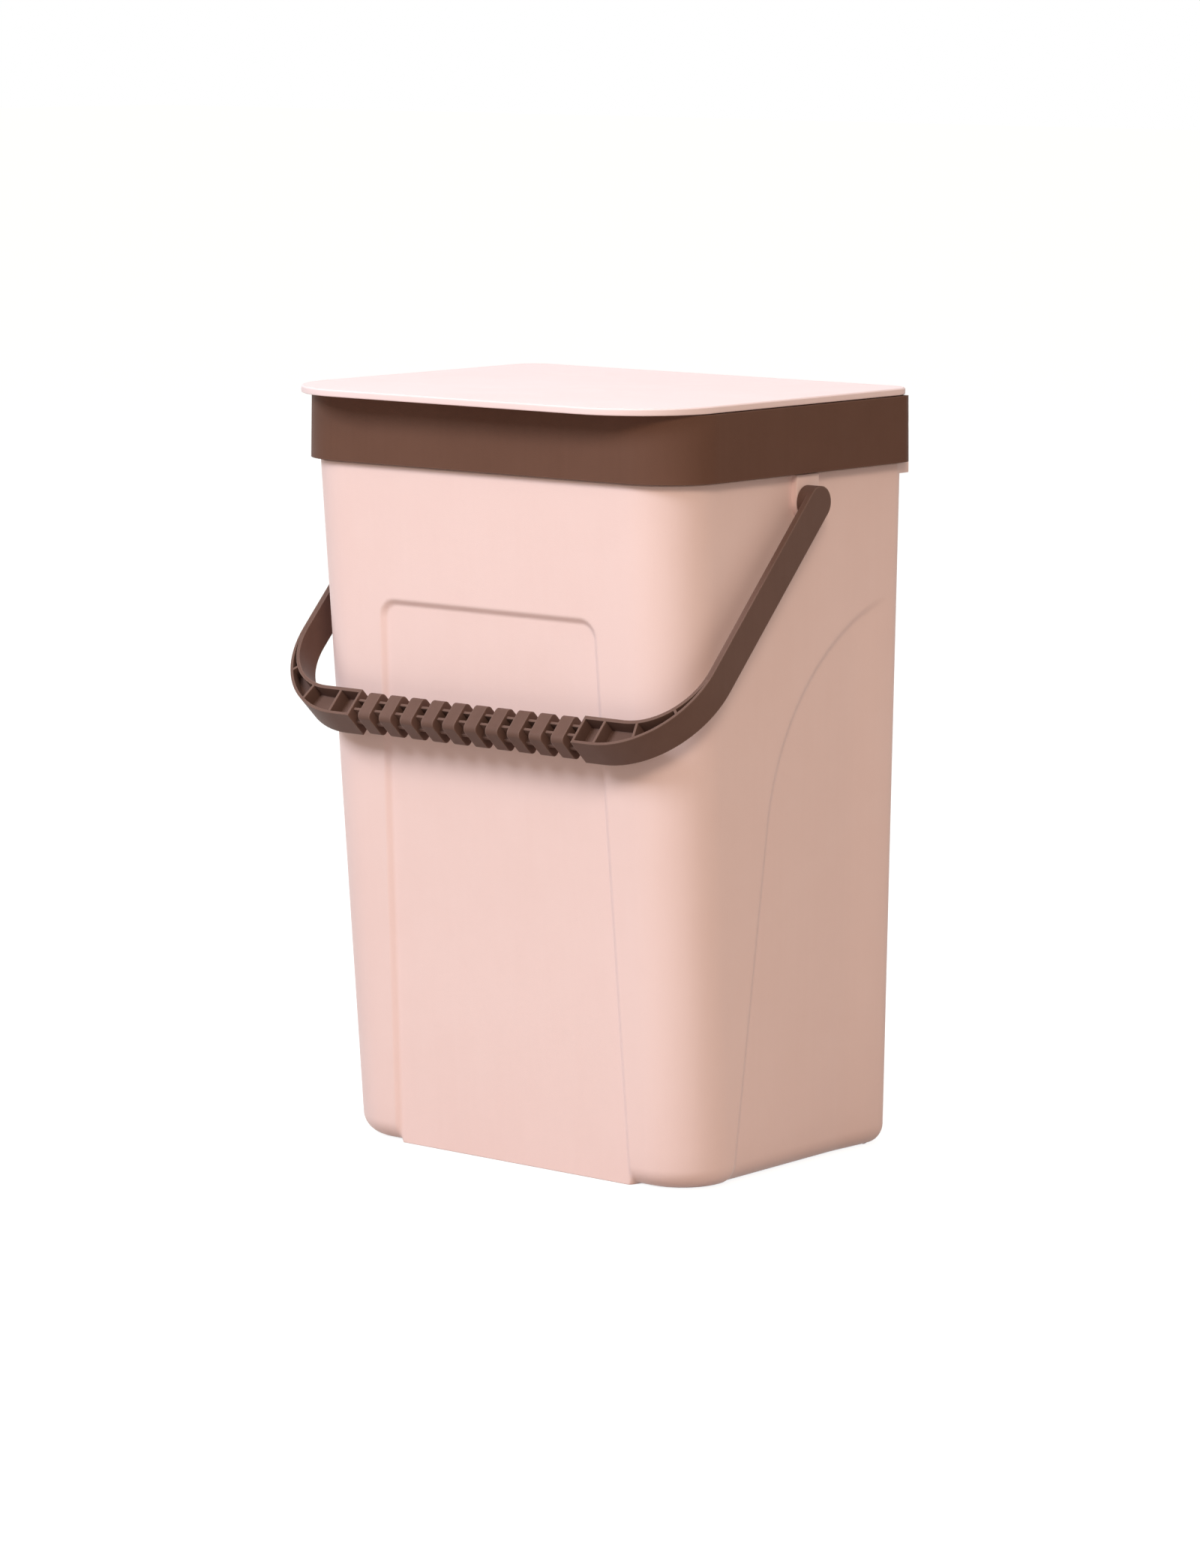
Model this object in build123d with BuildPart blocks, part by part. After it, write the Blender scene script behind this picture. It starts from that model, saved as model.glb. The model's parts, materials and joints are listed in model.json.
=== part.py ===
"""Wall-mounted kitchen bin: a tapered bucket with a carrying handle, hung on a wall bracket,
under a lid frame and a hinged lid.

Millimetres, +Z up. The wall is the plane y = 0 and the bin stands out from it along -Y.
z = 0 is the line of the two wall screws and x = 0 is the middle of the bin.
"""

import os
from math import asin, atan2, cos, hypot, sin

from build123d import *

# Bucket
body_height = 314.4  # underside to the step where the neck begins
neck_height = 20.1  # step to the top of the rim
hang_drop = 7.6  # step below the line of the wall screws
bottom_width = 207.5
bottom_depth = 145.5
body_top_width = 218.3
body_top_depth = 167.8
wall = 2.2
floor = 3.0
front_corner = 27.0
rear_corner = 11.0
foot_round = 9.5
foot_recess = 1.2  # hollow under the floor, inside the ring that the bucket stands on
foot_ring = 14.0
standoff = 10.1  # rear wall to the building's wall
neck_step = 0.4
neck_wall = 2.0
neck_rear_step = 1.7

# Recessed panels of the bucket
front_panel_depth = 2.0
front_panel_slope = 3.0  # width of the slanting edge round the panel
front_panel_top = 254.0  # above the underside
front_column_top = 45.1  # width of the column beside the panel, at the panel's top
front_column_bottom = 33.75  # the same at the underside
front_panel_corner = 9.0
side_panel_depth = 1.3
side_panel_slope = 2.4
side_panel_foot = 29.2  # edge of the side panel behind the front wall, at the underside
side_panel_bend = 160.0  # where the edge leaves its straight run
side_panel_lean = 19.5  # how far the straight run has gone back by the bend
side_panel_top = 258.0  # where the edge runs out round the rear corner
side_panel_run_out = 4.0  # end of the edge, behind the rear wall
past_the_edge = 40.0  # how far the cutting shapes reach past the walls

# Handle and its pivots
pivot_drop = 12.2  # pivot below the neck's step
pivot_depth = 77.5  # pivot ahead of the rear wall
grip_standoff = 1.97  # grip off the front wall when the handle is down
handle_reach = 144.7
pad_proud = 2.75  # pad's face out from the bucket's widest part
arm_thick = 2.9
grip_thick = 14.6
bar_width = 14.8
handle_corner = 44.7
grip_corner = 30.2
eye_thick = 7.6
eye_gap = 0.4
pad_radius = 8.0
pad_setback = 1.2  # pad centre behind the pivot
pivot_radius = 4.0
pivot_clearance = 0.06
snap_lip = 1.1
snap_length = 3.0
snap_slit = 1.6

# Ribbed grip
outer_skin = 1.3
inner_skin = 1.7
web = 1.6
rib = 1.2
corner_rib_angles = (13.5, 46.5)
fin_count = 10
fin_pitch = 12.5
fin_thick = 6.9
fin_round = 2.6
end_wall_gap = 5.8  # last fin to the middle of the end wall
straight_rib_gap = 11.5  # end wall to the rib behind it
spine_recess = 1.4

# Lid frame
frame_side_over = 4.35  # frame's side out from the bucket's widest part
frame_front_over = 2.5
frame_height = 29.8
frame_wall = 2.0
frame_draft = 0.4
frame_front_corner = 29.2
frame_rear_corner = 8.0
frame_rear_step = 0.8  # frame's rear face behind the bucket's rear wall
frame_gap = 0.5  # frame above the bucket's step
deck = 2.4
mouth_inset = 15.0
mouth_front_corner = 18.2
mouth_rear_corner = 14.0
skirt_wall = 1.8
skirt_depth = 22.7
seat_gap = 0.3
seat_rib = 1.6
seat_rib_pitch_across = 45.4
seat_rib_pitch_along = 42.8

# Lid
lid_side_step = 0.5  # lid's side in from the frame's
lid_thick = 3.2
lid_overhang = 15.7
lid_rear_step = 0.9
lid_gap = 0.3
lid_front_corner = 42.6
lid_rear_corner = 12.0
lid_edge = 0.6  # chamfer round the top
lid_rim_height = 4.5
lid_rim_wall = 1.5
lid_rim_gap = 2.5

# Lid hinge
hinge_round = 4.2  # rear top edge of the frame, rounded about the hinge axis
hinge_at = 70.0
ear_width = 11.4
ear_gap = 0.3
ear_radius = 3.9
hinge_pin = 2.0
hinge_clearance = 0.05
hinge_pin_length = 3.4
hinge_boss = 4.0

# Hanging lip and wall bracket
ledge_thick = 2.2
lip_side_step = 5.15  # lip's end in from the bucket's widest part
lip_drop = 5.1
lip_thick = 2.1
hook_half_width = 60.0
hook_drop = 14.4
slot_width = 4.5
tongue_gap = 0.5
tongue_seat = 0.3
plate_thick = 3.0
plate_margin = 6.0  # plate past the ends of the channel
plate_above = 11.0
plate_corner = 6.0
channel_floor = 3.0
channel_gap = 1.0
gusset = 2.4
gusset_drop = 11.0
gusset_pitch = 44.0

# Screws and wall plugs
screw_spacing = 96.0
lining_thick = 6.0  # tile or board between the plate and the plugs
screw_radius = 1.75
screw_head = 3.9
screw_neck = 1.95  # swelling of the shank inside the plate
shank_length = 5.0  # plain part of the screw behind the plate
thread_radius = 1.5
screw_tip = 3.5
screw_hole_clearance = 0.4
plug_radius = 3.0
plug_length = 25.0
plug_fit = 0.05
cross_depth = 1.4
cross_width = 0.9
cross_span = 4.4

# Places and sizes that follow from the ones above
neck_base = -hang_drop
bottom = neck_base - body_height
rim = neck_base + neck_height
rear = -standoff
side_lean = (body_top_width - bottom_width) / 2 / body_height
front_lean = (body_top_depth - bottom_depth) / body_height
front_panel_half_bottom = bottom_width / 2 - front_column_bottom
front_panel_half_top = bottom_width / 2 + side_lean * front_panel_top - front_column_top
handle_width = body_top_width + 2 * (pad_proud + eye_gap + eye_thick)
end_wall_at = (fin_count - 1) / 2 * fin_pitch + fin_thick / 2 + end_wall_gap
straight_rib_at = end_wall_at + straight_rib_gap
frame_width = body_top_width + 2 * frame_side_over
frame_depth = body_top_depth + frame_rear_step + frame_front_over
lid_width = frame_width - 2 * lid_side_step
lip_half_width = body_top_width / 2 - lip_side_step
plate_half_width = hook_half_width + plate_margin
frame_base = neck_base + frame_gap
frame_top = frame_base + frame_height
frame_rear = rear + frame_rear_step
lid_base = frame_top + lid_gap
hinge_y = frame_rear - hinge_round
hinge_z = frame_top - hinge_round
pivot_y = rear - pivot_depth
pivot_z = neck_base - pivot_drop
eye_inside = handle_width / 2 - eye_thick
pad_face = eye_inside - eye_gap


def outline(width, depth, back, front_radius, rear_radius, inset=0.0):
    """Rounded plan outline whose rear edge lies at y = back, drawn in from all sides by inset."""
    half = width / 2 - inset
    front = back - depth + inset
    behind = back - inset
    with BuildSketch(mode=Mode.PRIVATE) as sketch:
        with BuildLine():
            FilletPolyline(
                (-half, front),
                (half, front),
                (half, behind),
                (-half, behind),
                radius=[
                    front_radius - inset,
                    front_radius - inset,
                    rear_radius - inset,
                    rear_radius - inset,
                ],
                close=True,
            )
        make_face()
    return sketch.sketch


def tub(base, top, side_in=0.0, front_in=0.0, rear_in=0.0, foot=0.0):
    """Tapered body of the bucket between two heights: four flat walls, moved in from the outside,
    meeting in rounded corners, and a rounded foot."""
    with BuildPart() as body:
        with BuildSketch(Plane.XZ):
            with BuildLine():
                half_base = bottom_width / 2 + side_lean * base - side_in
                half_top = bottom_width / 2 + side_lean * top - side_in
                Polyline(
                    (-half_base, bottom + base),
                    (half_base, bottom + base),
                    (half_top, bottom + top),
                    (-half_top, bottom + top),
                    close=True,
                )
            make_face()
        extrude(amount=2 * body_top_depth)
        with BuildSketch(Plane.YZ):
            with BuildLine():
                Polyline(
                    (rear - rear_in, bottom + base),
                    (rear - bottom_depth - front_lean * base + front_in, bottom + base),
                    (rear - bottom_depth - front_lean * top + front_in, bottom + top),
                    (rear - rear_in, bottom + top),
                    close=True,
                )
            make_face()
        extrude(amount=body_top_width, both=True, mode=Mode.INTERSECT)
        uprights = body.edges().filter_by(lambda edge: abs(edge.tangent_at(0).Z) > 0.5)
        fillet(uprights.sort_by(Axis.Y)[:2], front_corner - (side_in + front_in) / 2)
        uprights = body.edges().filter_by(lambda edge: abs(edge.tangent_at(0).Z) > 0.5)
        fillet(uprights.sort_by(Axis.Y)[-2:], rear_corner - (side_in + rear_in) / 2)
        if foot > 0:
            fillet(body.edges().group_by(Axis.Z)[0], foot)
    return body.part


def neck_outline(inset):
    """Plan outline of the neck inside the lid frame, drawn in by inset from the body's top edge."""
    return outline(
        body_top_width,
        body_top_depth - neck_rear_step + neck_step,
        rear - neck_rear_step + neck_step,
        front_corner,
        rear_corner,
        inset=inset,
    )


def front_zone(grow, depth, beyond=0.0):
    """Space taken out of the front wall: a slanting edge down to the panel, then straight in."""
    face = Plane(
        origin=(0, rear - bottom_depth, bottom),
        x_dir=(1, 0, 0),
        z_dir=(0, 1, front_lean),
    )
    # seen from inside, the plane's own y runs down the wall
    with BuildPart() as zone:
        for level, shrink in ((0.0, 0.0), (depth, front_panel_slope)):
            with BuildSketch(face.offset(level)):
                with BuildLine():
                    FilletPolyline(
                        (-front_panel_half_bottom - grow + shrink, past_the_edge),
                        (-front_panel_half_top - grow + shrink, shrink - front_panel_top - grow),
                        (front_panel_half_top + grow - shrink, shrink - front_panel_top - grow),
                        (front_panel_half_bottom + grow - shrink, past_the_edge),
                        radius=[front_panel_corner, front_panel_corner],
                    )
                    Line(
                        (front_panel_half_bottom + grow - shrink, past_the_edge),
                        (-front_panel_half_bottom - grow + shrink, past_the_edge),
                    )
                make_face()
        loft(ruled=True)
        if beyond > 0:
            extrude(zone.faces().sort_by(Axis((0, 0, 0), face.z_dir))[-1], amount=beyond)
    return zone.part


def side_zone(grow, depth):
    """Space taken out of the right side wall behind the sweeping edge."""
    face = Plane(
        origin=(bottom_width / 2, rear, bottom),
        x_dir=(0, 1, 0),
        z_dir=(1, 0, -side_lean),
    )
    foot_at = side_panel_foot - bottom_depth
    bend_at = foot_at + side_panel_lean
    with BuildPart() as zone:
        for level, shrink in ((0.0, 0.0), (-depth, side_panel_slope)):
            edge = shrink - grow
            with BuildSketch(face.offset(level)):
                with BuildLine():
                    foot_line = Line((foot_at + edge, 0), (bend_at + edge, side_panel_bend))
                    sweep_line = TangentArc(
                        foot_line @ 1,
                        (side_panel_run_out, side_panel_top - edge),
                        tangent=foot_line % 1,
                    )
                    Polyline(
                        sweep_line @ 1,
                        (past_the_edge, side_panel_top - edge),
                        (past_the_edge, -past_the_edge),
                        (foot_at + edge, -past_the_edge),
                        foot_line @ 0,
                    )
                make_face()
        loft(ruled=True)
        extrude(zone.faces().sort_by(Axis.X)[0], amount=foot_round + wall)
    return zone.part


def side_cut(grow, depth, base, foot):
    """The side zone less the body drawn in by the panel's depth: what the panel takes away."""
    with BuildPart() as cut:
        add(side_zone(grow, depth))
        add(tub(base, body_height, side_in=depth, foot=foot), mode=Mode.SUBTRACT)
    return cut.part


# Bucket
panel_right = side_cut(0.0, side_panel_depth, 0.0, foot_round)
bulge_right = side_cut(wall, side_panel_depth + wall, floor, foot_round - wall)

with BuildPart() as panel_fill:
    add(tub(0.0, body_height, front_in=front_panel_depth))
    add(front_zone(0.0, front_panel_depth, foot_round), mode=Mode.INTERSECT)

with BuildPart() as cavity:
    add(
        tub(
            floor,
            body_height - neck_wall,
            side_in=wall,
            front_in=wall,
            rear_in=wall,
            foot=foot_round - wall,
        )
    )
    add(front_zone(wall, front_panel_depth + wall), mode=Mode.SUBTRACT)
    add(bulge_right, mode=Mode.SUBTRACT)
    add(mirror(bulge_right, about=Plane.YZ), mode=Mode.SUBTRACT)
    with BuildSketch(Plane.XY.offset(neck_base - neck_wall)):
        add(neck_outline(neck_step + neck_wall))
    extrude(amount=2 * neck_height)

with BuildPart() as bucket:
    add(tub(0.0, body_height, foot=foot_round))
    add(front_zone(0.0, front_panel_depth, foot_round), mode=Mode.SUBTRACT)
    add(panel_fill.part)
    add(panel_right, mode=Mode.SUBTRACT)
    add(mirror(panel_right, about=Plane.YZ), mode=Mode.SUBTRACT)
    with BuildSketch(Plane.XY.offset(neck_base)):
        add(neck_outline(neck_step))
    extrude(amount=rim - neck_base)
    # hanging lip: a ledge behind the rear wall with a low edge, deeper in the middle
    with BuildSketch(Plane.YZ):
        with BuildLine():
            Polyline(
                (rear - wall / 2, neck_base),
                (rear + slot_width + lip_thick, neck_base),
                (rear + slot_width + lip_thick, neck_base - lip_drop),
                (rear + slot_width, neck_base - lip_drop),
                (rear + slot_width, neck_base - ledge_thick),
                (rear - wall / 2, neck_base - ledge_thick),
                close=True,
            )
        make_face()
    extrude(amount=lip_half_width, both=True)
    with BuildSketch(Plane.XY.offset(neck_base - hook_drop)):
        with Locations((0, rear + slot_width + lip_thick / 2)):
            Rectangle(2 * hook_half_width, lip_thick)
    extrude(amount=hook_drop - ledge_thick)
    # pivot pads
    for side in (-1, 1):
        with BuildSketch(Plane(origin=(side * pad_face, pivot_y + pad_setback, pivot_z),
                               x_dir=(0, 1, 0), z_dir=(-side, 0, 0))):
            Circle(pad_radius)
            with Locations((0, -side * (neck_base - pivot_z) / 2)):
                Rectangle(2 * pad_radius, neck_base - pivot_z)
        extrude(amount=pad_face - body_top_width / 2 + wall / 2)
    add(cavity.part, mode=Mode.SUBTRACT)
    # pivot holes and the hollow under the floor
    with BuildSketch(Plane.YZ):
        with Locations((pivot_y, pivot_z)):
            Circle(pivot_radius + pivot_clearance)
    extrude(amount=handle_width / 2, both=True, mode=Mode.SUBTRACT)
    with BuildSketch(Plane.XY.offset(bottom)):
        add(outline(bottom_width, bottom_depth, rear, front_corner, rear_corner + foot_ring,
                    inset=foot_ring))
    extrude(amount=foot_recess, mode=Mode.SUBTRACT)
bucket.part.label = "bucket"


# Handle: one moulded bail, drawn in its own plane with the pivot line as the plane's x axis
grip_inside = handle_reach - grip_thick
arm_inside = handle_width / 2 - arm_thick
half_bar = bar_width / 2
corner_x = arm_inside - grip_corner
corner_y = grip_corner - grip_inside
# The lean from straight down, forwards, at which the grip's nearest edge is its standoff from the
# front wall: that edge swings on a circle about the pivot, and the wall is a slanting line
edge_along = grip_inside + front_lean * half_bar
edge_across = half_bar - front_lean * grip_inside
wall_ahead = pivot_y - rear + bottom_depth + front_lean * (pivot_z - bottom)
swing_ahead = wall_ahead + grip_standoff * hypot(1, front_lean)
lean = atan2(edge_across, edge_along) + asin(swing_ahead / hypot(edge_along, edge_across))
bail_plane = Plane(
    origin=(0, pivot_y, pivot_z),
    x_dir=(1, 0, 0),
    z_dir=(0, -cos(lean), sin(lean)),
)


def bail_outline(half, reach, radius):
    """The bail's outline, from the pivot line down to the given reach."""
    with BuildSketch(mode=Mode.PRIVATE) as sketch:
        with BuildLine():
            FilletPolyline((-half, 0), (-half, -reach), (half, -reach), (half, 0), radius=radius)
            Line((half, 0), (-half, 0))
        make_face()
    return sketch.sketch


def pocket_outline():
    """What the pockets leave open between the two skins, their ribs and the grip's end walls."""
    with BuildSketch(mode=Mode.PRIVATE) as sketch:
        add(
            bail_outline(
                handle_width / 2 - outer_skin,
                handle_reach - outer_skin,
                handle_corner - outer_skin,
            )
        )
        add(
            bail_outline(
                arm_inside + inner_skin,
                grip_inside + inner_skin,
                grip_corner + inner_skin,
            ),
            mode=Mode.SUBTRACT,
        )
        for side in (-1, 1):
            with Locations((side * straight_rib_at, -handle_reach + grip_thick / 2)):
                Rectangle(rib, grip_thick, mode=Mode.SUBTRACT)
            for angle in corner_rib_angles:
                with Locations((side * corner_x, corner_y)):
                    with Locations(Rotation(0, 0, side * angle - 90)):
                        with Locations((grip_corner + grip_thick / 2, 0)):
                            Rectangle(2 * grip_thick, rib, mode=Mode.SUBTRACT)
        with Locations((0, -handle_reach + grip_thick / 2)):
            Rectangle(2 * end_wall_at + rib, 2 * grip_thick, mode=Mode.SUBTRACT)
        # the straight arms stay solid
        with Locations((0, corner_y / 2)):
            Rectangle(handle_width, -corner_y, mode=Mode.SUBTRACT)
    return sketch.sketch


with BuildPart() as handle:
    with BuildSketch(bail_plane):
        add(bail_outline(handle_width / 2, handle_reach, handle_corner))
        add(bail_outline(arm_inside, grip_inside, grip_corner), mode=Mode.SUBTRACT)
    extrude(amount=half_bar, both=True)
    # pockets in the front and the back, down to the web between them
    for face in (1, -1):
        with BuildSketch(bail_plane.offset(face * half_bar)):
            add(pocket_outline())
        extrude(amount=-face * (half_bar - web / 2), mode=Mode.SUBTRACT)
    # the ribbed middle: cleared, then a spine of one web and two ribs, then the fins
    with BuildSketch(bail_plane):
        with Locations((0, -handle_reach + grip_thick / 2)):
            Rectangle(2 * end_wall_at - rib, 2 * grip_thick)
    extrude(amount=bar_width, both=True, mode=Mode.SUBTRACT)
    with BuildSketch(bail_plane):
        with Locations((0, -handle_reach + grip_thick / 2)):
            Rectangle(2 * end_wall_at, grip_thick - 2 * spine_recess)
    extrude(amount=web / 2, both=True)
    with BuildSketch(bail_plane):
        for third in (1, 2):
            with Locations((0, -handle_reach + grip_thick * third / 3)):
                Rectangle(2 * end_wall_at, rib)
    extrude(amount=half_bar - spine_recess, both=True)
    for index in range(fin_count):
        fin_start = (index - (fin_count - 1) / 2) * fin_pitch - fin_thick / 2
        fin_plane = Plane(
            origin=bail_plane.from_local_coords((fin_start, grip_thick / 2 - handle_reach, 0)),
            x_dir=bail_plane.y_dir,
            z_dir=(1, 0, 0),
        )
        with BuildSketch(fin_plane):
            RectangleRounded(grip_thick, bar_width, fin_round)
        extrude(amount=fin_thick)
    # round eyes, pivots and their snap heads
    for side in (-1, 1):
        with BuildSketch(Plane(origin=(side * handle_width / 2, pivot_y, pivot_z),
                               x_dir=(0, 1, 0), z_dir=(-side, 0, 0))) as eye:
            Circle(half_bar)
        extrude(amount=eye_thick)
        bore_end = body_top_width / 2 - wall - snap_lip
        pivot_profile = [
            (eye_inside, 0),
            (eye_inside, pivot_radius),
            (bore_end, pivot_radius),
            (bore_end, pivot_radius + snap_lip),
            (bore_end - snap_length, pivot_radius - snap_lip / 2),
            (bore_end - snap_length, 0),
        ]
        with BuildSketch(Plane(origin=(0, pivot_y, pivot_z), x_dir=(side, 0, 0), z_dir=(0, 0, 1))):
            with BuildLine():
                Polyline(*pivot_profile, close=True)
            make_face()
        revolve(axis=Axis((0, pivot_y, pivot_z), (1, 0, 0)))
        slit_start = bore_end - snap_length
        with BuildSketch(Plane(origin=(side * slit_start, pivot_y, pivot_z),
                               x_dir=(0, 1, 0), z_dir=(side, 0, 0))):
            Rectangle(4 * pivot_radius, snap_slit)
        extrude(amount=snap_length + wall, mode=Mode.SUBTRACT)
handle.part.label = "handle"


# Lid frame
def frame_outline(inset):
    """The frame's plan outline at its top, drawn in by inset; a negative inset spreads it."""
    return outline(
        frame_width,
        frame_depth,
        frame_rear,
        frame_front_corner,
        frame_rear_corner,
        inset=inset,
    )


def mouth_outline(grow=0.0):
    """The frame's mouth, with every side the same distance in from the frame's outline."""
    return outline(
        frame_width - 2 * mouth_inset,
        frame_depth - 2 * mouth_inset,
        frame_rear - mouth_inset,
        mouth_front_corner,
        mouth_rear_corner,
        inset=-grow,
    )


with BuildPart() as frame_hollow:
    for height, spread in ((frame_base, frame_draft), (frame_top - deck, 0.0)):
        with BuildSketch(Plane.XY.offset(height)):
            add(frame_outline(frame_wall - spread))
    loft(ruled=True)
    # the inner skirt stays, from the deck down
    with BuildSketch(Plane.XY.offset(frame_top - skirt_depth)):
        add(mouth_outline(skirt_wall))
    extrude(amount=skirt_depth, mode=Mode.SUBTRACT)
    # ribs that sit on the bucket's rim
    with BuildSketch(Plane.XY.offset(rim + seat_gap)):
        with Locations((0, frame_rear - frame_depth / 2)):
            with GridLocations(seat_rib_pitch_across, 0, 4, 1):
                Rectangle(seat_rib, frame_depth)
            with GridLocations(0, seat_rib_pitch_along, 1, 3):
                Rectangle(frame_width, seat_rib)
    extrude(amount=frame_height, mode=Mode.SUBTRACT)

with BuildPart() as lid_frame:
    for height, spread in ((frame_base, frame_draft), (frame_top, 0.0)):
        with BuildSketch(Plane.XY.offset(height)):
            add(frame_outline(-spread))
    loft(ruled=True)
    # rear top edge, rounded about the hinge axis so that the lid swings past it
    with BuildSketch(Plane.YZ.offset(-frame_width)):
        with Locations((hinge_y + hinge_round, hinge_z + hinge_round)):
            Rectangle(2 * hinge_round, 2 * hinge_round)
        with Locations((hinge_y, hinge_z)):
            Circle(hinge_round, mode=Mode.SUBTRACT)
    extrude(amount=2 * frame_width, mode=Mode.SUBTRACT)
    add(frame_hollow.part, mode=Mode.SUBTRACT)
    with BuildSketch(Plane.XY.offset(frame_base)):
        add(mouth_outline())
    extrude(amount=frame_height, mode=Mode.SUBTRACT)
    # hinge bosses either side of each ear's slot
    ear_slot = ear_width + 2 * ear_gap
    for side in (-1, 1):
        with BuildSketch(Plane(origin=(side * hinge_at, 0, 0), x_dir=(0, 1, 0), z_dir=(1, 0, 0))):
            with Locations((hinge_y, hinge_z)):
                Circle(hinge_round)
            with Locations((hinge_y - hinge_round / 2, hinge_z)):
                Rectangle(hinge_round, 2 * hinge_round)
            with Locations((hinge_y, hinge_z - hinge_round / 2)):
                Rectangle(2 * hinge_round, hinge_round)
        extrude(amount=ear_slot / 2 + hinge_boss, both=True)
        with BuildSketch(Plane(origin=(side * hinge_at, 0, 0), x_dir=(0, 1, 0), z_dir=(1, 0, 0))):
            with Locations((hinge_y, hinge_z)):
                Circle(hinge_round)
            with Locations((hinge_y + hinge_round, hinge_z + 2 * hinge_round)):
                Rectangle(4 * hinge_round, 4 * hinge_round)
            with Locations((hinge_y + 2 * hinge_round, hinge_z + hinge_round)):
                Rectangle(4 * hinge_round, 4 * hinge_round)
        extrude(amount=ear_slot / 2, both=True, mode=Mode.SUBTRACT)
    with BuildSketch(Plane.YZ):
        with Locations((hinge_y, hinge_z)):
            Circle(hinge_pin + hinge_clearance)
    extrude(amount=hinge_at + ear_slot / 2 + hinge_boss, both=True, mode=Mode.SUBTRACT)
lid_frame.part.label = "lid_frame"

# Lid
lid_rear = frame_rear + lid_rear_step
lid_depth = lid_rear - frame_rear + frame_depth + lid_overhang
with BuildPart() as lid:
    with BuildSketch(Plane.XY.offset(lid_base)):
        add(outline(lid_width, lid_depth, lid_rear, lid_front_corner, lid_rear_corner))
    extrude(amount=lid_thick)
    chamfer(lid.faces().sort_by(Axis.Z)[-1].edges(), lid_edge)
    # rim that drops into the frame's mouth
    with BuildSketch(Plane.XY.offset(lid_base - lid_rim_height)):
        add(mouth_outline(-lid_rim_gap))
        add(mouth_outline(-lid_rim_gap - lid_rim_wall), mode=Mode.SUBTRACT)
    extrude(amount=lid_rim_height)
    # ears with a pin on each side
    for side in (-1, 1):
        ear_plane = Plane(origin=(side * hinge_at, 0, 0), x_dir=(0, 1, 0), z_dir=(1, 0, 0))
        with BuildSketch(ear_plane):
            with Locations((hinge_y, hinge_z)):
                Circle(ear_radius)
            with Locations((hinge_y, (hinge_z + lid_base + lid_thick / 2) / 2)):
                Rectangle(2 * ear_radius, lid_base + lid_thick / 2 - hinge_z)
        extrude(amount=ear_width / 2, both=True)
        with BuildSketch(ear_plane):
            with Locations((hinge_y, hinge_z)):
                Circle(hinge_pin)
        extrude(amount=ear_width / 2 + hinge_pin_length, both=True)
lid.part.label = "lid"

# Wall bracket: a plate with an upturned channel that the bucket's lip drops into
tongue_back = rear + slot_width - tongue_gap
tongue_front = rear + tongue_gap
tongue_top = neck_base - ledge_thick - tongue_seat
channel_top = neck_base - hook_drop - channel_gap
plate_top = plate_above
plate_foot = channel_top - channel_floor - gusset_drop
with BuildPart() as wall_bracket:
    with BuildSketch(Plane.XZ):
        with Locations((0, (plate_top + plate_foot) / 2)):
            RectangleRounded(2 * plate_half_width, plate_top - plate_foot, plate_corner)
    extrude(amount=plate_thick)
    with BuildSketch(Plane.YZ):
        with BuildLine():
            Polyline(
                (-plate_thick / 2, channel_top),
                (tongue_back, channel_top),
                (tongue_back, tongue_top),
                (tongue_front, tongue_top),
                (tongue_front, channel_top - channel_floor),
                (-plate_thick / 2, channel_top - channel_floor),
                close=True,
            )
        make_face()
    extrude(amount=hook_half_width, both=True)
    for step in (-1, 0, 1):
        with BuildSketch(Plane.YZ.offset(step * gusset_pitch)):
            with BuildLine():
                Polyline(
                    (-plate_thick / 2, channel_top - channel_floor / 2),
                    (tongue_front, channel_top - channel_floor / 2),
                    (tongue_front, channel_top - channel_floor),
                    (-plate_thick, plate_foot + plate_corner / 2),
                    (-plate_thick / 2, plate_foot + plate_corner / 2),
                    close=True,
                )
            make_face()
        extrude(amount=gusset / 2, both=True)
    with Locations(Plane(origin=(0, -plate_thick, 0), x_dir=(1, 0, 0), z_dir=(0, -1, 0))):
        with GridLocations(screw_spacing, 1, 2, 1):
            CounterSinkHole(
                screw_radius + screw_hole_clearance,
                screw_head + screw_hole_clearance,
                counter_sink_angle=90,
            )
wall_bracket.part.label = "wall_bracket"


def wall_screw(x):
    """Countersunk screw with a cross recess, its head flush with the plate's front."""
    screw_end = lining_thick + plug_length
    with BuildPart() as screw:
        with BuildSketch(Plane(origin=(x, 0, 0), x_dir=(0, 1, 0), z_dir=(0, 0, 1))):
            with BuildLine():
                Polyline(
                    (-plate_thick, 0),
                    (-plate_thick, screw_head),
                    (-plate_thick + screw_head - screw_neck, screw_neck),
                    (0, screw_radius),
                    (shank_length, screw_radius),
                    (shank_length, thread_radius),
                    (screw_end - screw_tip, thread_radius),
                    (screw_end, 0),
                    close=True,
                )
            make_face()
        revolve(axis=Axis((x, 0, 0), (0, 1, 0)))
        with BuildSketch(Plane(origin=(x, -plate_thick, 0), x_dir=(1, 0, 0), z_dir=(0, -1, 0))):
            Rectangle(cross_span, cross_width)
            Rectangle(cross_width, cross_span)
        extrude(amount=-cross_depth, mode=Mode.SUBTRACT)
    return screw.part


def wall_plug(x):
    """Plain plug in the wall behind the lining, bored for its screw."""
    mouth = Plane(origin=(x, lining_thick, 0), x_dir=(1, 0, 0), z_dir=(0, 1, 0))
    with BuildPart() as plug:
        with BuildSketch(mouth):
            Circle(plug_radius)
        extrude(amount=plug_length)
        with BuildSketch(mouth):
            Circle(thread_radius + plug_fit)
        extrude(amount=plug_length, mode=Mode.SUBTRACT)
    return plug.part


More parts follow.
